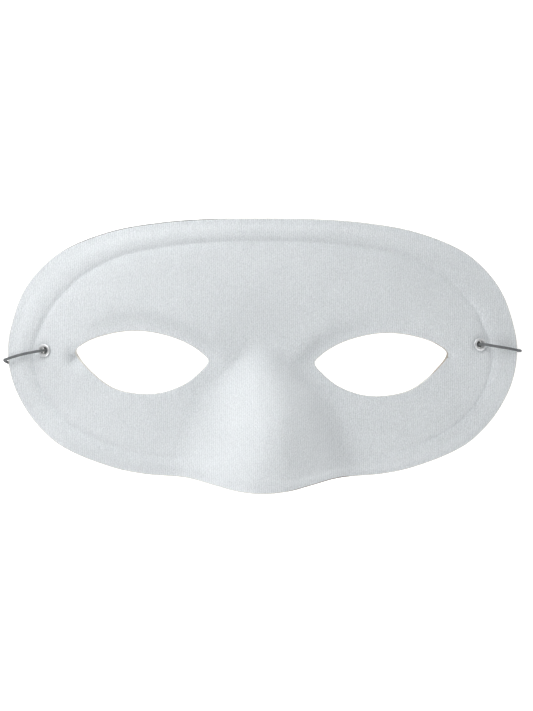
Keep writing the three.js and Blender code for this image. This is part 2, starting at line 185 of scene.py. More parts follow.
def bump(tree, height, depth):
    """The slopes of a fine relief that is so many millimetres deep."""
    inputs = {"Height": height, "Strength": 1, "Distance": depth * MM}
    return add_node(tree, "ShaderNodeBump", inputs).outputs[0]


WHITE = (1, 1, 1)
MIDDLE = (0.3, 0.7)  # where most of a mottle's values lie
RIB_PITCH = 0.74  # of the knit's upright ribs
STITCH_PITCH = 0.55  # of the stitches along a rib
RIB_SWAY = 0.9  # how far a rib wanders sideways
RIB_RELIEF = 0.85
STITCH_RELIEF = 0.4
FIBRE_RELIEF = 2.4
FIBRE_TONE = 6  # the fibres show more in the colour than in the relief
# The painted shade in the knit's grooves: the span of tone over which it fades to white, and its
# darkest colour
GROOVE_SPAN = (2.2, 6.2)
PAINTED_GROOVE_SHADE = (0.7, 0.708, 0.713)
KNIT_DEPTH = 0.07


def knit_cloth():
    """White ribbed knit: upright ribs of small stitches, a little uneven, with soft fibres, and
    painted shade in the grooves between them.
    """
    made, shader, tree = material("knit_cloth")
    place = place_in_mm(tree)
    across, along, _ = add_node(tree, "ShaderNodeSeparateXYZ", {0: place}).outputs
    wide, narrow = mottle(tree, place, 0.09), mottle(tree, place, 0.9, 2.0)
    swayed = summed(tree, (wide, RIB_SWAY), (narrow, RIB_SWAY), (across, 1))
    rib_turn = maths(tree, "MULTIPLY", swayed, TURN / RIB_PITCH)
    stitch_turn = summed(tree, (along, TURN / STITCH_PITCH), (rib_turn, 0.5))
    rib, stitch = maths(tree, "SINE", rib_turn), maths(tree, "SINE", stitch_turn)
    fibre = mottle(tree, place, 1.9, 4.0, 0.7)
    relief = summed(tree, (rib, RIB_RELIEF), (stitch, STITCH_RELIEF), (fibre, FIBRE_RELIEF))
    tone = summed(tree, (relief, 1), (fibre, FIBRE_TONE))
    # Painted shade: the colour darkens where the relief is low, in the knit's grooves, along with
    # the fibres' random tone.
    groove = ramp(tree, tone, GROOVE_SPAN, PAINTED_GROOVE_SHADE, WHITE)
    worn = mottle(tree, place, 0.05, 2.0)
    cloth = ramp(tree, worn, (0.35, 0.65), (0.772, 0.802, 0.824), (0.788, 0.818, 0.84))
    colour = mixed(tree, 1, cloth, groove, "MULTIPLY")
    tree.links.new(colour, shader.inputs["Base Color"])
    tree.links.new(bump(tree, relief, KNIT_DEPTH), shader.inputs["Normal"])
    shader.inputs["Roughness"].default_value = 0.92
    shader.inputs["Specular IOR Level"].default_value = 0.2
    shader.inputs["Sheen Weight"].default_value = 0.12
    shader.inputs["Sheen Roughness"].default_value = 0.5
    return made


# Stretches of the cut edge with painted shade: the middle and the reach of each, across and up,
# and its tone
PAINTED_SHADE_EDGES = [((-45, 46), (38, 14), 0.03), ((20, -45), (14, 9), 0.3), ((67, -1), (9, 8), 0.6)]
PAINTED_SHADE_HUE = (1, 0.92, 0.84)
PAINTED_SHADE_FADE = (0.7, 1)  # where such a stretch fades out, as shares of its reach


def cut_backing():
    """The cut edge, where the pressed brown-beige fibres of the backing show, with painted shade on
    a few stretches.
    """
    made, shader, tree = material("cut_backing")
    place = place_in_mm(tree)
    fibres = mottle(tree, place, 3.5, 4.0, 0.7)
    colour = ramp(tree, fibres, MIDDLE, (0.55, 0.54, 0.51), (0.72, 0.71, 0.68))
    flat = vectors(tree, "MULTIPLY", place, (1, 1, 0))[0]
    # Painted shade: a few stretches of the edge are darkened where they lie in shade.
    for middle, reach, level in PAINTED_SHADE_EDGES:
        away = vectors(tree, "SUBTRACT", flat, (*middle, 0))[0]
        share = vectors(tree, "DIVIDE", away, (*reach, 1))[0]
        distance = vectors(tree, "LENGTH", share)["Value"]
        painted_shade = ramp(tree, distance, PAINTED_SHADE_FADE, [level * hue for hue in PAINTED_SHADE_HUE], WHITE)
        colour = mixed(tree, 1, colour, painted_shade, "MULTIPLY")
    tree.links.new(colour, shader.inputs["Base Color"])
    tree.links.new(bump(tree, fibres, 0.12), shader.inputs["Normal"])
    shader.inputs["Roughness"].default_value = 0.95
    shader.inputs["Specular IOR Level"].default_value = 0.15
    return made


def pressed_backing():
    """The inside: off-white pressed fibre, a little darker in patches."""
    made, shader, tree = material("pressed_backing")
    place = place_in_mm(tree)
    fibres = mottle(tree, place, 1.4, 5.0, 0.7)
    patches = mottle(tree, place, 0.12, 2.0)
    both = maths(tree, "ADD", fibres, patches)
    colour = ramp(tree, both, (0.75, 1.3), (0.66, 0.64, 0.6), (0.8, 0.79, 0.76))
    tree.links.new(colour, shader.inputs["Base Color"])
    tree.links.new(bump(tree, fibres, 0.18), shader.inputs["Normal"])
    shader.inputs["Roughness"].default_value = 0.93
    shader.inputs["Specular IOR Level"].default_value = 0.2
    return made


def bright_nickel():
    """Thin plated metal, a little duller in patches."""
    made, shader, tree = material("bright_nickel")
    place = place_in_mm(tree)
    patches = mottle(tree, place, 1.1)
    colour = ramp(tree, patches, MIDDLE, (0.66, 0.67, 0.68), (0.78, 0.79, 0.8))
    tree.links.new(colour, shader.inputs["Base Color"])
    rough = spread(tree, patches, MIDDLE, (0.44, 0.32))
    tree.links.new(rough, shader.inputs["Roughness"])
    tree.links.new(bump(tree, mottle(tree, place, 9.0), 0.012), shader.inputs["Normal"])
    shader.inputs["Metallic"].default_value = 0.8
    return made


def braided_elastic():
    """Grey round braid over rubber: matt yarn, with painted shade between its strands and a little
    darker in random patches.
    """
    made, shader, tree = material("braided_elastic")
    place = place_in_mm(tree)
    yarn = mottle(tree, place, 5.0, 4.0, 0.7)
    patches = mottle(tree, place, 0.6, 2.0)
    # Painted shade: the colour darkens where the yarn's relief is low, between its strands, mixed
    # with random patches.
    both = summed(tree, (yarn, 0.7), (patches, 0.3))
    colour = ramp(tree, both, (0.35, 0.65), (0.075, 0.082, 0.086), (0.17, 0.18, 0.186))
    tree.links.new(colour, shader.inputs["Base Color"])
    tree.links.new(bump(tree, yarn, 0.05), shader.inputs["Normal"])
    shader.inputs["Roughness"].default_value = 0.75
    shader.inputs["Specular IOR Level"].default_value = 0.35
    shader.inputs["Sheen Weight"].default_value = 0.15
    return made


def new_piece(name, points_mm, faces, materials):
    """A smooth mesh that rides on the mask, from points in millimetres."""
    mesh = bpy.data.meshes.new(name)
    mesh.from_pydata((np.asarray(points_mm) * MM).tolist(), [], faces)
    mesh.shade_smooth()
    for item in materials:
        mesh.materials.append(item)
    piece = bpy.data.objects.new(name, mesh)
    bpy.context.scene.collection.objects.link(piece)
    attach(piece, "root")
    return piece


def smooth_line(points, step, closed=False):
    """Points about a step apart on the centripetal curve through the given points."""
    points = np.array(points, float)
    if closed:
        padded = np.vstack([points[-1:], points, points[:2]])
    else:
        padded = np.vstack([2 * points[0] - points[1], points, 2 * points[-1] - points[-2]])
    line = []
    for corners in zip(padded, padded[1:], padded[2:], padded[3:]):
        roots = [math.sqrt(np.linalg.norm(q - p)) for p, q in zip(corners, corners[1:])]
        knots = np.cumsum([0, *roots])
        count = max(1, round(np.linalg.norm(corners[2] - corners[1]) / step))
        for t in np.linspace(knots[1], knots[2], count, endpoint=False):
            level = corners
            for spans in (((0, 1), (1, 2), (2, 3)), ((0, 2), (1, 3)), ((1, 2),)):
                level = [
                    ((knots[j] - t) * p + (t - knots[i]) * q) / (knots[j] - knots[i])
                    for (i, j), p, q in zip(spans, level, level[1:])
                ]
            line.append(level[0])
    if not closed:
        line.append(points[-1])
    return np.array(line)


# The cord's centre line, point for point as the solid has it
CORD = [
    (-80.3, 1.99, 8.8),
    (-81.58, 1.86, 10.11),
    (-82.49, 1.74, 10.77),
    (-83.62, 1.57, 11.05),
    (-84.84, 1.36, 10.76),
    (-90.6, 0.15, 7.6),
    (-95.14, -1.3, 5.12),
    (-96.01, -1.6, 3.83),
    (-95.95, -2, 2.3),
    (-95.05, -2.5, 1.14),
    (-93.55, -3, 0.66),
    (-86.5, -4.2, 0.62),
    (-79.5, 3, 0.62),
    (-72, 19, 0.62),
    (-60, 32, 0.62),
    (-46, 29, 0.62),
    (-35.5, 17.5, 0.62),
    (-22.5, 16, 0.62),
    (-10, 27.5, 0.62),
    (4, 36.5, 0.62),
    (18, 32, 0.62),
    (29, 19, 0.62),
    (42.5, 15.5, 0.62),
    (55, 26.5, 0.62),
    (67, 28.5, 0.62),
    (75, 16.5, 0.62),
    (79.6, 5, 0.62),
    (86.2, 0.9, 0.62),
    (93.55, 1.85, 0.66),
    (95.05, 1.8, 1.14),
    (95.95, 1.75, 2.3),
    (96.01, 1.8, 3.83),
    (95.14, 1.95, 5.12),
    (90.6, 2.8, 7.62),
    (84.6, 3.8, 10.8),
    (83.4, 4.03, 11.1),
    (82.2, 4.15, 10.8),
    (81.28, 4.18, 10.12),
    (80.01, 4.14, 8.82),
]
CORD_STEP = 0.26
CORD_SIDES = 16
BRAID_LAY = 2.4  # how far a strand of the braid travels in one turn
BRAID_STRANDS = 8
BRAID_DEPTH = 0.035


def tube(line, sides, radius_of):
    """A closed tube along a line of points: radius_of takes the way along and the angles."""
    steps = np.diff(line, axis=0)
    along = np.concatenate([[0], np.cumsum(np.linalg.norm(steps, axis=1))])
    tangents = np.gradient(line, axis=0)
    tangents /= np.linalg.norm(tangents, axis=1, keepdims=True)
    side = np.cross(tangents[0], (0, 0, 1.0))
    angles = np.linspace(0, TURN, sides, endpoint=False)
    points = []
    for centre, tangent, way in zip(line, tangents, along):
        side = side - tangent * side.dot(tangent)
        side /= np.linalg.norm(side)
        other = np.cross(tangent, side)
        circle = np.outer(np.cos(angles), side) + np.outer(np.sin(angles), other)
        points.append(centre + radius_of(way, angles)[:, None] * circle)
    points = np.vstack([*points, line[:1], line[-1:]])
    faces = []
    rings = len(line)
    for k in range(sides):
        after = (k + 1) % sides
        for i in range(rings - 1):
            low, high = i * sides, (i + 1) * sides
            faces.append((low + k, low + after, high + after, high + k))
        last = (rings - 1) * sides
        faces.append((after, k, rings * sides))
        faces.append((last + k, last + after, rings * sides + 1))
    return points, faces


def braid(way, angles):
    """The radius of a round braid: strands that cross each way round."""
    turn = TURN * way / BRAID_LAY
    half = BRAID_STRANDS / 2
    weave = np.sin(half * (angles + turn)) * np.sin(half * (angles - turn))
    return CORD_DIAMETER / 2 - BRAID_DEPTH * (0.5 - 0.5 * weave)


elastic_look = braided_elastic()


def make_cord():
    line = smooth_line(CORD, CORD_STEP)
    points, faces = tube(line, CORD_SIDES, braid)
    cord = new_piece("elastic", points, faces, [elastic_look])
    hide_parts("elastic_cord")
    return cord, line


# The mask's outline from the bottom centre round the side to the top centre: shares of half
# the width and half the height, and the side of the widest point that the row is on.
OUTLINE = [
    (0, -1, -1),
    (0.1, -0.983, -1),
    (0.2, -0.935, -1),
    (0.3, -0.888, -1),
    (0.46, -0.864, -1),
    (0.59, -0.815, -1),
    (0.787, -0.664, -1),
    (0.886, -0.502, -1),
    (0.945, -0.345, -1),
    (0.984, -0.175, -1),
    (1, 0.04, 1),
    (0.984, 0.237, 1),
    (0.945, 0.447, 1),
    (0.886, 0.607, 1),
    (0.787, 0.764, 1),
    (0.59, 0.909, 1),
    (0.393, 0.971, 1),
    (0.2, 0.996, 1),
    (0, 1, 1),
]
# The band by the turn round the half outline, in degrees: its width as a share of BAND_WIDTH,
# and how much of its crease is there
BAND = [
    (-90, 0.86, 0),
    (-66, 0.74, 0.4),
    (-35, 0.88, 0.9),
    (0, 1, 1),
    (28, 1.3, 1),
    (58, 1, 1),
    (90, 0.88, 1),
]
# The nose: height up the face as a share of half the height, and shares of its width, rise and
# lean
NOSE = [
    (-1, 1.08, 1, 0.9),
    (-0.88, 1.05, 1.01, 0.95),
    (-0.76, 0.99, 1, 1),
    (-0.65, 0.92, 0.94, 1),
    (-0.51, 0.85, 0.83, 1),
    (-0.4, 0.77, 0.71, 0.95),
    (-0.28, 0.67, 0.55, 0.7),
    (-0.18, 0.52, 0.4, 0.4),
    (-0.09, 0.38, 0.25, 0.1),
    (0, 0.26, 0.07, -0.2),
    (0.1, 0.2, 0, -0.3),
]
# The brow line from the nose outwards: shares of half the width and height, and its depth
BROW = [
    (0.1, -0.08, 0),
    (0.147, -0.01, 0.4),
    (0.19, 0.07, 0.8),
    (0.23, 0.125, 1),
    (0.295, 0.19, 1),
    (0.35, 0.235, 1),
    (0.463, 0.284, 0.8),
    (0.58, 0.277, 0.6),
    (0.66, 0.22, 0.25),
    (0.72, 0.15, 0),
]
# The spots of the rim that carry the mask: the turn in degrees, and shares of REST_DIP
REST_SPOTS = [(24, 0.66), (-22, 1)]
# An eye hole from its outer corner over the top: shares of its half length and half height
EYE = [
    (1, 0.33),
    (0.84, 0.64),
    (0.48, 0.905),
    (0.1, 1),
    (-0.27, 0.905),
    (-0.64, 0.645),
    (-0.9, 0.3),
    (-1, 0.04),
    (-0.88, -0.29),
    (-0.64, -0.69),
    (-0.27, -0.966),
    (0.1, -0.983),
    (0.47, -0.776),
    (0.84, -0.147),
]


def curve_of(places, levels):
    """A smooth curve through the levels at the places, flat at both ends."""
    at, level = np.array(places, float), np.array(levels, float)
    slope = np.zeros_like(level)
    slope[1:-1] = (level[2:] - level[:-2]) / (at[2:] - at[:-2])

    def value(q):
        i = np.clip(np.searchsorted(at, q, side="right") - 1, 0, len(at) - 2)
        span = at[i + 1] - at[i]
        t = np.clip((q - at[i]) / span, 0, 1)
        u = 1 - t
        ends = level[i] * (1 + 2 * t) * u * u + level[i + 1] * (3 - 2 * t) * t * t
        return ends + span * (slope[i] * t * u * u - slope[i + 1] * t * t * u)

    return value


def bell(q):
    return np.exp(-q * q)


def ease(q):
    q = np.clip(q, 0, 1)
    return q * q * (3 - 2 * q)


outline_up = curve_of(
    [side * math.acos(across) for across, _, side in OUTLINE],
    [up * HALF_HEIGHT for _, up, _ in OUTLINE],
)
band_width = curve_of([math.radians(r[0]) for r in BAND], [r[1] * BAND_WIDTH for r in BAND])
crease_share = curve_of([math.radians(r[0]) for r in BAND], [r[2] for r in BAND])
nose_foot = curve_of([r[0] * HALF_HEIGHT for r in NOSE], [r[1] * NOSE_HALF_WIDTH for r in NOSE])
nose_rise = curve_of([r[0] * HALF_HEIGHT for r in NOSE], [r[2] * NOSE_HEIGHT for r in NOSE])
nose_ridge = curve_of([r[0] * HALF_HEIGHT for r in NOSE], [r[3] * NOSE_LEAN for r in NOSE])
brow_up = curve_of([r[0] * HALF_WIDTH for r in BROW], [r[1] * HALF_HEIGHT for r in BROW])
brow_share = curve_of([r[0] * HALF_WIDTH for r in BROW], [r[2] for r in BROW])

EDGE_STEPS = 240
edge_turns = np.linspace(-QUARTER, QUARTER, EDGE_STEPS + 1)
edge = np.stack([HALF_WIDTH * np.cos(edge_turns), outline_up(edge_turns)], 1)


def place_on_rim(x, y):
    """How far in from the outline each point lies, and the turn of the nearest outline point."""
    across = np.abs(x)
    inward = np.full(np.shape(x), np.inf)
    turn = np.zeros(np.shape(x))
    for a, b, start, end in zip(edge, edge[1:], edge_turns, edge_turns[1:]):
        d = b - a
        t = np.clip(((across - a[0]) * d[0] + (y - a[1]) * d[1]) / d.dot(d), 0, 1)
        distance = np.hypot(across - a[0] - t * d[0], y - a[1] - t * d[1])
        nearer = distance < inward
        inward = np.where(nearer, distance, inward)
        turn = np.where(nearer, start + t * (end - start), turn)
    return inward, turn


# How far each form reaches, in millimetres, and where it lies
RIB_START = 0.18  # shares of the band's width
RIB_CREST = 0.55
SWELL_REACH = 5
CREASE_REACH = 1
SPOT_REACH_ACROSS = 24
SPOT_REACH_UP = 14
STEP_REACH = 2
SOCKET_REACH = 14
RIDGE_UP = 6  # of a brow's ridge over its line
RIDGE_REACH = 6
ARCH_POWER = 2.1
CORNER_PULL = 0.25  # how much nearer the corners of the mask bend back
FOREHEAD_FROM = 0.3  # shares of half the height
CHEEK_FROM = -0.3
NASION_UP = 0.05
NASION_REACH_ACROSS = 14
NASION_REACH_UP = 13
NOSE_ROUND = 2.3  # the power that rounds the ridge
NOSE_HOLLOW = 3.8  # and the one that hollows the foot
DIMPLE_OUT = 1.02  # shares of an eye's half length and half height
DIMPLE_UP = 0.1
DIMPLE_REACH = 3.4


def band_relief(inward, turn):
    """The rib round the face, the crease inside it and the swell of the face."""
    band = band_width(turn)
    share = inward / band
    crease = crease_share(turn)
    fall = RIB_HEIGHT * crease  # from the rib's crest to the crease
    groove = CREASE_DEPTH * crease * bell((inward - band) / CREASE_REACH)
    outer = RIB_HEIGHT * ease((share - RIB_START) / (RIB_CREST - RIB_START))
    inner = RIB_HEIGHT - fall * (1 - np.cos(QUARTER * (share - RIB_CREST) / (1 - RIB_CREST)))
    to_face = np.exp(np.minimum(band - inward, 0) / SWELL_REACH)
    swell = FACE_SWELL - (FACE_SWELL - RIB_HEIGHT + fall) * to_face
    return np.where(share < RIB_CREST, outer, np.where(share < 1, inner, swell)) - groove


def rest_dip(x, y):
    dip = 0
    for degrees, share in REST_SPOTS:
        turn = math.radians(degrees)
        across = (np.abs(x) - HALF_WIDTH * math.cos(turn)) / SPOT_REACH_ACROSS
        up = (y - outline_up(turn)) / SPOT_REACH_UP
        dip = dip + REST_DIP * share * bell(np.hypot(across, up))
    return dip


def brow(x, y):
    below = brow_up(np.abs(x)) - y
    step = 0.5 + 0.5 * np.tanh(below / STEP_REACH)
    hollow = SOCKET_DEPTH * step * bell(np.maximum(below, 0) / SOCKET_REACH)
    ridge = BROW_RIDGE * bell((below + RIDGE_UP) / RIDGE_REACH)
    return brow_share(np.abs(x)) * (ridge - hollow)


def dimple(x, y):
    (left_x, left_y), (right_x, right_y) = EYES.values()
    out = np.where(x < 0, left_x - x, x - right_x) - DIMPLE_OUT * EYE_HALF_LENGTH
    up = y - np.where(x < 0, left_y, right_y) - DIMPLE_UP * EYE_HALF_HEIGHT
    depth = np.where(x < 0, DIMPLE_DEPTH_LEFT, DIMPLE_DEPTH_RIGHT)
    return depth * bell(np.hypot(out, up) / DIMPLE_REACH)


def front_height(x, y):
    """The height of the front of the mask over its side edge's own level."""
    across = np.abs(x) / HALF_WIDTH
    up = y / HALF_HEIGHT
    arch = ARCH_DEPTH * (across / (1 - CORNER_PULL * up * up)) ** ARCH_POWER
    forehead = np.maximum(up - FOREHEAD_FROM, 0) / (1 - FOREHEAD_FROM)
    cheek = np.maximum(CHEEK_FROM - up, 0) / (1 + CHEEK_FROM)
    lean = FOREHEAD_LEAN * forehead**2 + CHEEK_LEAN * cheek**2
    ridge = nose_ridge(y)
    foot_width = nose_foot(y) + np.where(x < ridge, ridge, -ridge)
    foot = np.minimum(np.abs(x - ridge) / foot_width, 1)
    nose = nose_rise(y) * (1 - foot**NOSE_ROUND) ** NOSE_HOLLOW
    nasion_up = (y - NASION_UP * HALF_HEIGHT) / NASION_REACH_UP
    nasion = NASION_DEPTH * bell(x / NASION_REACH_ACROSS) * bell(nasion_up)
    inward, turn = place_on_rim(x, y)
    rim = band_relief(inward, turn) - rest_dip(x, y)
    return ARCH_DEPTH - arch - lean + nose - nasion + brow(x, y) - dimple(x, y) + rim


# The tip of the nose lies on its ridge near the lower edge, and it is the top of the mask.
TIP_RANGE = (-1, -0.8)
tip_up = np.linspace(*TIP_RANGE, 40) * HALF_HEIGHT
LIFT = TOP - np.max(front_height(nose_ridge(tip_up), tip_up))
SLOPE_STEP = 0.25


def front_normal(x, y):
    """The way straight out of the cloth, from its slopes."""
    dx = front_height(x + SLOPE_STEP, y) - front_height(x - SLOPE_STEP, y)
    dy = front_height(x, y + SLOPE_STEP) - front_height(x, y - SLOPE_STEP)
    normal = np.stack([-dx, -dy, np.full(np.shape(dx), 2 * SLOPE_STEP)], -1)
    return normal / np.linalg.norm(normal, axis=-1, keepdims=True)


# The visible shell: rings of points along each cut edge and round the band, an even lattice
# between them, and triangles through all of them.
EDGE_SPACING = 0.8
EDGE_ROUND = 0.35  # the cloth rolls over the cut edge
BACK_ROUND = 0.12
EDGE_INSETS = (0, 0.06, 0.16, 0.35, 0.7, 1.2)
OUTER_BAND = (0.2, 0.27, 0.34, 0.42, 0.5, 0.58, 0.66, 0.74)
INNER_BAND = (0.82, 0.9, 0.96, 1, 1.04, 1.1, 1.18, 1.28)
BAND_SHARES = OUTER_BAND + INNER_BAND
EYELET_INSETS = (0, 0.06, 0.16, 0.35, 0.7, 1.1, 1.6, 2.2)
EYELET_LOOP_POINTS = 28
EYE_STEP = 0.2
LATTICE = 1.0
ROW_SHARE = math.sqrt(0.75)  # of an even lattice of triangles
CLOSEST = 0.42  # points of the inner rings and lattice keep this far from the cut edges'
MERGE_DISTANCE = 1e-6  # points nearer to each other than this are one
EYELET_CLEARANCE = 0.05
PINCH_DEPTH = 0.4  # how far an eyelet presses into the cloth
PINCH_REACH = 0.9
BUMPS = ((30, 0.05), (11, 0.03), (4.5, 0.015))  # the size and depth of the cloth's unevenness
# Small puckers at the outer eye corners: the place, depth and reach of each
PUCKERS = [((-69.3, -1.1), 1.6, 2.4), ((69.6, 0.4), 0.6, 2)]
WALL_ROWS = 3
CUT_VISIBLE = 2  # rings of the rolled edge of a hole that show the backing
RIM_CUT_VISIBLE = 3  # and of the outer edge
RIM_REACH = 1.5
KNIT, CUT, BACKING = 0, 1, 2  # the places of the shell's materials


def even_loop(points, spacing):
    """A closed loop of points an even distance apart, near the spacing."""
    closed = np.vstack([points, points[:1]])
    along = np.concatenate([[0], np.cumsum(np.linalg.norm(np.diff(closed, axis=0), axis=1))])
    count = round(along[-1] / spacing)
    ways = np.linspace(0, along[-1], count, endpoint=False)
    return np.stack([np.interp(ways, along, closed[:, i]) for i in (0, 1)], 1)


def turned_area(points):
    x, y = points.T
    return 0.5 * np.sum(x * np.roll(y, -1) - y * np.roll(x, -1))


def loop_with_cloth_on_left(points, is_hole):
    return points[::-1] if (turned_area(points) > 0) == is_hole else points


def inset(points, distance):
    """The loop moved into the cloth, which lies on its left."""
    tangent = np.roll(points, -1, axis=0) - np.roll(points, 1, axis=0)
    tangent /= np.linalg.norm(tangent, axis=1, keepdims=True)
    return points + np.reshape(distance, (-1, 1)) * np.stack([-tangent[:, 1], tangent[:, 0]], 1)


def mask_loops():
    """The outline, the eye holes and the eyelets' holes, each with the insets of its rings."""
    left = edge[::-1][1:-1] * (-1, 1)
    outline = even_loop(np.vstack([edge, left]), EDGE_SPACING)
    loops = [(loop_with_cloth_on_left(outline, False), EDGE_INSETS)]
    for x, y in EYES.values():
        mirror = math.copysign(1, x)
        corners = [
            (x + mirror * out * EYE_HALF_LENGTH, y + up * EYE_HALF_HEIGHT) for out, up in EYE
        ]
        eye = even_loop(smooth_line(corners, EYE_STEP, closed=True), EDGE_SPACING)
        loops.append((loop_with_cloth_on_left(eye, True), EDGE_INSETS))
    radius = EYELET_HOLE_RADIUS + EYELET_BARREL_WALL + EYELET_CLEARANCE
    angles = np.linspace(0, TURN, EYELET_LOOP_POINTS, endpoint=False)
    for x, y in EYELETS.values():
        ring = np.stack([x + radius * np.cos(angles), y + radius * np.sin(angles)], 1)
        loops.append((loop_with_cloth_on_left(ring, True), EYELET_INSETS))
    return loops


def inside(points, loop):
    """Which points lie inside the loop."""
    x, y = points.T
    result = np.zeros(len(points), bool)
    for (ax, ay), (bx, by) in zip(loop, np.roll(loop, -1, axis=0)):
        crosses = (ay > y) != (by > y)
        if ay != by:
            result ^= crosses & (x < ax + (y - ay) * (bx - ax) / (by - ay))
    return result


def on_cloth(points, loops):
    kept = inside(points, loops[0][0])
    for loop, _ in loops[1:]:
        kept &= ~inside(points, loop)
    return kept


def unevenness(points):
    """The slight unevenness of hand-laid cloth, at a few sizes."""
    height = np.zeros(len(points))
    for size, depth in BUMPS:
        height += [depth * noise.noise(Vector((x / size, y / size, size))) for x, y in points]
    return height


def inner_lattice():
    """An even lattice inside the rings of the band."""
    across = np.arange(-HALF_WIDTH, HALF_WIDTH, LATTICE)
    rows = np.arange(-HALF_HEIGHT, HALF_HEIGHT, LATTICE * ROW_SHARE)
    lattice = np.array([(x + (k % 2) * LATTICE / 2, y) for k, y in enumerate(rows) for x in across])
    inward, turns = place_on_rim(lattice[:, 0], lattice[:, 1])
    return lattice[inward > BAND_SHARES[-1] * band_width(turns) + LATTICE / 2]


def shell_points():
    """The flat places of the points, how far each is from a cut edge, the loops and the rings."""
    loops = mask_loops()
    rings = [(inset(loop, step), step) for loop, steps in loops for step in steps]
    outline = loops[0][0]
    _, turns = place_on_rim(outline[:, 0], outline[:, 1])
    placed = [point for ring, _ in rings for point in ring]
    depths = [step for ring, step in rings for _ in ring]
    tree = kdtree.KDTree(len(placed))
    for i, point in enumerate(placed):
        tree.insert((*point, 0), i)
    tree.balance()
    bands = [inset(outline, share * band_width(turns)) for share in BAND_SHARES]
    fill = np.vstack([*bands, inner_lattice()])
    fill = fill[on_cloth(fill, loops)]
    fill = [p for p in fill if tree.find((*p, 0))[2] > CLOSEST]
    depths += [EDGE_INSETS[-1]] * len(fill)
    return np.array(placed + fill), np.array(depths), loops, rings


def round_drop(depth, radius):
    """How far a rounded edge falls away at a distance in from it."""
    rest = np.clip(radius - depth, 0, radius)
    return radius - np.sqrt(radius**2 - rest**2)


def border_numbers(loops, rings):
    """The numbers of the points along each cut edge, which is the first ring of its loop."""
    starts = np.cumsum([0, *(len(ring) for ring, _ in rings)])
    borders = []
    seen = 0
    for loop, steps in loops:
        borders.append(np.arange(starts[seen], starts[seen] + len(loop)))
        seen += len(steps)
    return borders


def cloth_triangles(flat, borders, loops):
    """The points as the triangles use them, the number that each had, and the triangles."""
    edges = [(int(a), int(b)) for border in borders for a, b in zip(border, np.roll(border, -1))]
    corners = [Vector(p) for p in flat.tolist()]
    found = delaunay_2d_cdt(corners, edges, [], 0, MERGE_DISTANCE, True)
    places = np.array([tuple(v) for v in found[0]])
    origin = np.array([ids[0] for ids in found[3]])
    triangles = np.array([face for face in found[2] if len(face) == 3])
    triangles = triangles[on_cloth(places[triangles].mean(axis=1), loops)]
    return places, origin, triangles


def cloth_surface(flat):
    """The front of the cloth at each flat place, with its small bumps, presses and puckers."""
    x, y = flat.T
    height = front_height(x, y) + LIFT + unevenness(flat)
    for ex, ey in EYELETS.values():
        away = np.maximum(np.hypot(x - ex, y - ey) - EYELET_FLANGE_RADIUS, 0)
        height -= PINCH_DEPTH * bell(away / PINCH_REACH)
    for (px, py), depth, reach in PUCKERS:
        height -= depth * bell(np.hypot(x - px, y - py) / reach)
    return np.stack([x, y, height], 1)


def shows_backing(flat, depths):
    """Which points lie so near a cut edge that the backing shows there."""
    on_rim = place_on_rim(*flat.T)[0] < RIM_REACH
    shown = np.where(on_rim, EDGE_INSETS[RIM_CUT_VISIBLE], EDGE_INSETS[CUT_VISIBLE])
    return depths < shown - MERGE_DISTANCE


def shell_mesh():
    """The shell's points, its faces and the material of each: front, back and cut edges."""
    flat, depths, loops, rings = shell_points()
    borders = border_numbers(loops, rings)
    flat, origin, triangles = cloth_triangles(flat, borders, loops)
    depths = depths[origin]
    surface = cloth_surface(flat)
    normal = front_normal(*flat.T)
    front = surface - normal * round_drop(depths, EDGE_ROUND)[:, None]
    back = surface - normal * (WALL - round_drop(depths, BACK_ROUND))[:, None]
    points = [front, back]
    size = len(flat)
    near_cut = shows_backing(flat, depths)
    faces = [tuple(t) for t in triangles.tolist()]
    looks = [CUT if near_cut[list(t)].any() else KNIT for t in faces]
    faces += [(a + size, c + size, b + size) for a, b, c in faces]
    looks += [BACKING] * len(triangles)
    number_of = {int(o): i for i, o in enumerate(origin)}
    count = 2 * size
    for border in borders:
        loop = np.array([number_of[int(i)] for i in border])
        rows = [loop]
        for share in np.arange(1, WALL_ROWS) / WALL_ROWS:
            rows.append(np.arange(count, count + len(loop)))
            points.append(front[loop] * (1 - share) + back[loop] * share)
            count += len(loop)
        rows.append(loop + size)
        for upper, lower in zip(rows, rows[1:]):
            strip = np.stack([upper, lower, np.roll(lower, -1), np.roll(upper, -1)], 1)
            faces += [tuple(q) for q in strip.tolist()]
            looks += [CUT] * len(strip)
    points = np.vstack(points)
    points[:, 2] = np.maximum(points[:, 2], 0)  # the rim is pressed flat where it rests
    return points, faces, looks


def make_shell():
    points, faces, looks = shell_mesh()
    shell = new_piece(
        "moulded_face",
        points,
        faces,
        [knit_cloth(), cut_backing(), pressed_backing()],
    )
    shell.data.polygons.foreach_set("material_index", looks)
    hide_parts("mask_shell")
    return shell


def seat_on_face(x, y):
    """A frame on the front of the mask, with its Z out of the cloth."""
    here = np.array([float(x)]), np.array([float(y)])
    normal = Vector(front_normal(*here)[0])
    turn = Vector((0, 0, 1)).rotation_difference(normal).to_matrix().to_4x4()
    height = front_height(*here)[0] + LIFT
    return Matrix.Translation((x, y, height)) @ turn


def arc(centre, radii, start, end, count):
    """Points of an ellipse between two angles in degrees."""
    angles = np.radians(np.linspace(start, end, count))
    (cx, cy), (rx, ry) = centre, radii
    return [(cx + rx * math.cos(a), cy + ry * math.sin(a)) for a in angles]


EYELET_SIDES = 72
FLANGE_DOME = 0.42
FLANGE_RISE = 0.02  # of the dome's foot over the cloth
FLANGE_LIP = 0.12  # how far the flange's underside stays in from its edge
FLANGE_UNDER = -0.1
BARREL_BEND = 0.12
CLINCH_OUT = 0.2
CLINCH_ROLL = (0.42, 0.24)  # half the width and half the height of the rolled ring
CLINCH_DROP = 0.26
CLINCH_PETALS = 6
CLINCH_SPLIT = 0.1  # how deep the ring is split between its petals
CLINCH_FROM = 0.3
PETAL_SHARPNESS = 0.6


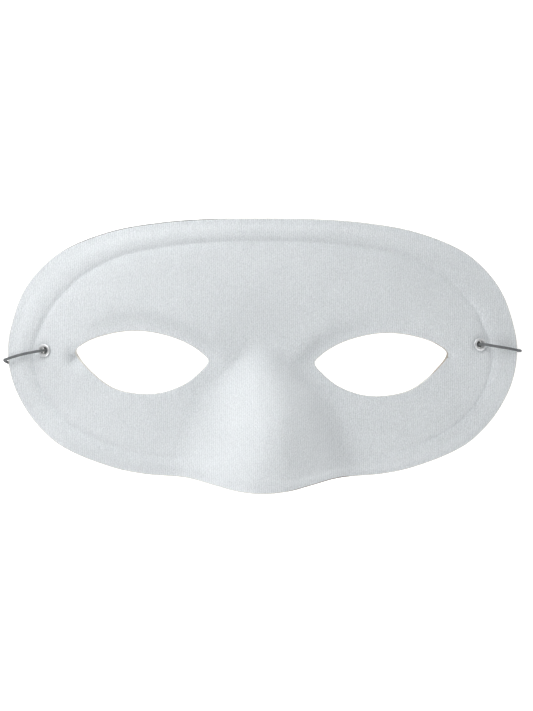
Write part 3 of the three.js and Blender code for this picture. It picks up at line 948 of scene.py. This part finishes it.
def make_eyelet(side, look):
    """A barrel with a domed front flange and a rolled, lobed clinch behind the wall."""
    barrel = EYELET_HOLE_RADIUS + EYELET_BARREL_WALL
    middle = (EYELET_HOLE_RADIUS + EYELET_FLANGE_RADIUS) / 2
    half = (EYELET_FLANGE_RADIUS - EYELET_HOLE_RADIUS) / 2
    back = FLANGE_UNDER - WALL
    profile = [
        *arc((middle, FLANGE_RISE), (half, FLANGE_DOME), 180, 0, 15),
        (EYELET_FLANGE_RADIUS - FLANGE_LIP, FLANGE_UNDER),
        (barrel, -BARREL_BEND),
        (barrel, back + BARREL_BEND),
        (barrel + CLINCH_OUT, back),
        *arc((barrel + CLINCH_OUT, back - CLINCH_DROP), CLINCH_ROLL, 60, -200, 12),
    ]
    radii, heights = np.array(profile).T
    lobes = np.clip((-heights - WALL) / CLINCH_FROM, 0, 1)
    angles = np.linspace(0, TURN, EYELET_SIDES, endpoint=False)
    split = np.abs(np.cos(angles * CLINCH_PETALS / 2)) ** PETAL_SHARPNESS - 1
    points = []
    for angle, gap in zip(angles, split):
        r = radii + CLINCH_SPLIT * gap * lobes * (radii > barrel)
        points.append(np.stack([r * math.cos(angle), r * math.sin(angle), heights], 1))
    rows = len(profile)
    faces = []
    for k in range(EYELET_SIDES):
        low, high = k * rows, ((k + 1) % EYELET_SIDES) * rows
        for i in range(rows):
            after = (i + 1) % rows
            faces.append((low + i, low + after, high + after, high + i))
    points = np.vstack(points)
    seat = np.array(seat_on_face(*EYELETS[side]))
    points = points @ seat[:3, :3].T + seat[:3, 3]
    ring = new_piece(f"metal_eyelet_{side}", points, faces, [look])
    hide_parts(f"eyelet_{side}")
    return ring


KNOT_SPREAD = 0.62
KNOT_LIFT = 0.62
KNOT_DEPTH = 4.3  # of the knot's middle under the front of the cloth
KNOT_OPENING = 0.3  # radians left open at the lobe where the cord comes in
KNOT_ASIDE = {"left": 0.8, "right": 0}  # how far it sits up the face from its eyelet
KNOT_POINTS = 26
KNOT_STEP = 0.12
KNOT_LEAD = 0.75  # how far before the knot the cord already runs its way
KNOT_OVER = 0.55  # and how high over the knot it comes in
LEAD_RISE = 0.1
DOWN_SHARE = 0.9  # how far the cord first runs on, as a share of its last stretch
TAIL_LENGTH = 3.4
TAIL_DROP = 0.5


def knot_loop(side):
    """The three lobes of the knot, behind its eyelet in the eyelet's own frame."""
    mirror = 1 if side == "left" else -1
    first = math.pi / 3 + KNOT_OPENING
    turns = np.linspace(first, first + TURN - 2 * KNOT_OPENING, KNOT_POINTS)
    across = mirror * KNOT_SPREAD * (np.sin(turns) + 2 * np.sin(2 * turns))
    up = KNOT_ASIDE[side] + KNOT_SPREAD * (np.cos(turns) - 2 * np.cos(2 * turns))
    out = -KNOT_DEPTH - KNOT_LIFT * np.sin(3 * turns)
    return np.stack([across, up, out], 1)


def make_knot(side, cord_line):
    """An overhand knot behind the eyelet: the cord comes in over it and its tail leaves it."""
    seat = seat_on_face(*EYELETS[side])
    to_seat = seat.inverted()
    ends = cord_line if side == "left" else cord_line[::-1]
    start, before = (np.array(to_seat @ Vector(ends[i])) for i in (0, 3))
    loop = knot_loop(side)
    leave = loop[-1] - loop[-2]
    leave /= np.linalg.norm(leave)
    enter = loop[0] - loop[1]
    enter /= np.linalg.norm(enter)
    out = np.array([0, 0, 1])
    over = loop[0] + KNOT_LEAD * enter + KNOT_OVER * out
    down = start + (start - before) * DOWN_SHARE
    halfway = 0.5 * (down + over) + LEAD_RISE * out
    tail = [loop[-1] + leave * TAIL_LENGTH / 2, loop[-1] + leave * TAIL_LENGTH - TAIL_DROP * out]
    line = smooth_line([start, down, halfway, over, *loop, *tail], KNOT_STEP)
    matrix = np.array(seat)
    line = line @ matrix[:3, :3].T + matrix[:3, 3]
    points, faces = tube(line, CORD_SIDES, braid)
    knot = new_piece(f"overhand_knot_{side}", points, faces, [elastic_look])
    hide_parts(f"knot_{side}")
    return knot


cord, cord_line = make_cord()
knots = [make_knot(side, cord_line) for side in EYELETS]
make_shell()
nickel = bright_nickel()
for side in EYELETS:
    make_eyelet(side, nickel)

# The studio: a plain pale floor and soft lights all round, the strongest from the upper left
FLOOR_SIZE = 8
FLOOR_DROP = 0.00005  # keeps the floor just clear of the mask
FLOOR_GLOW = 0.55


def make_floor():
    bpy.ops.mesh.primitive_plane_add(size=FLOOR_SIZE, location=(0, 0, -FLOOR_DROP))
    floor = bpy.context.object
    floor.name = "floor"
    look, shader, _ = material("pale_floor")
    shader.inputs["Base Color"].default_value = (0.92, 0.92, 0.92, 1)
    shader.inputs["Roughness"].default_value = 0.9
    shader.inputs["Specular IOR Level"].default_value = 0.1
    shader.inputs["Emission Color"].default_value = (1, 1, 1, 1)
    shader.inputs["Emission Strength"].default_value = FLOOR_GLOW
    floor.data.materials.append(look)


# Each light: the turn and the height in degrees that it comes from, and its watts
LIGHTS = {
    "low right": (0, 20, 2),
    "upper right": (45, 45, 1.5),
    "top left": (112, 30, 5),
    "upper left": (135, 45, 7),
    "low upper left": (135, 15, 2),
    "lower left": (225, 45, 4),
    "low below": (270, 15, 4),
    "below": (270, 45, 0.5),
    "low lower right": (315, 15, 3),
    "lower right": (315, 45, 2),
}
LIGHT_SIZE = 0.8
LIGHT_DISTANCE = 1.2
SKY = 0.06


def make_light(name, turn, height, watts):
    data = bpy.data.lights.new(name, "AREA")
    data.shape = "DISK"
    data.size = LIGHT_SIZE
    data.energy = watts
    light = bpy.data.objects.new(name, data)
    bpy.context.scene.collection.objects.link(light)
    light.visible_camera = False
    turn, height = math.radians(turn), math.radians(height)
    level = math.cos(height)
    way = Vector((level * math.cos(turn), level * math.sin(turn), math.sin(height)))
    light.location = way * LIGHT_DISTANCE
    light.rotation_mode = "QUATERNION"
    light.rotation_quaternion = way.to_track_quat("Z", "Y")


def make_studio():
    make_floor()
    for name, settings in LIGHTS.items():
        make_light(name, *settings)
    world = bpy.data.worlds.new("studio")
    world.use_nodes = True
    background = world.node_tree.nodes["Background"]
    background.inputs["Color"].default_value = (1, 1, 1, 1)
    background.inputs["Strength"].default_value = SKY
    bpy.context.scene.world = world
    bpy.context.scene.view_settings.view_transform = "Standard"
    bpy.context.scene.view_settings.look = "None"


make_studio()
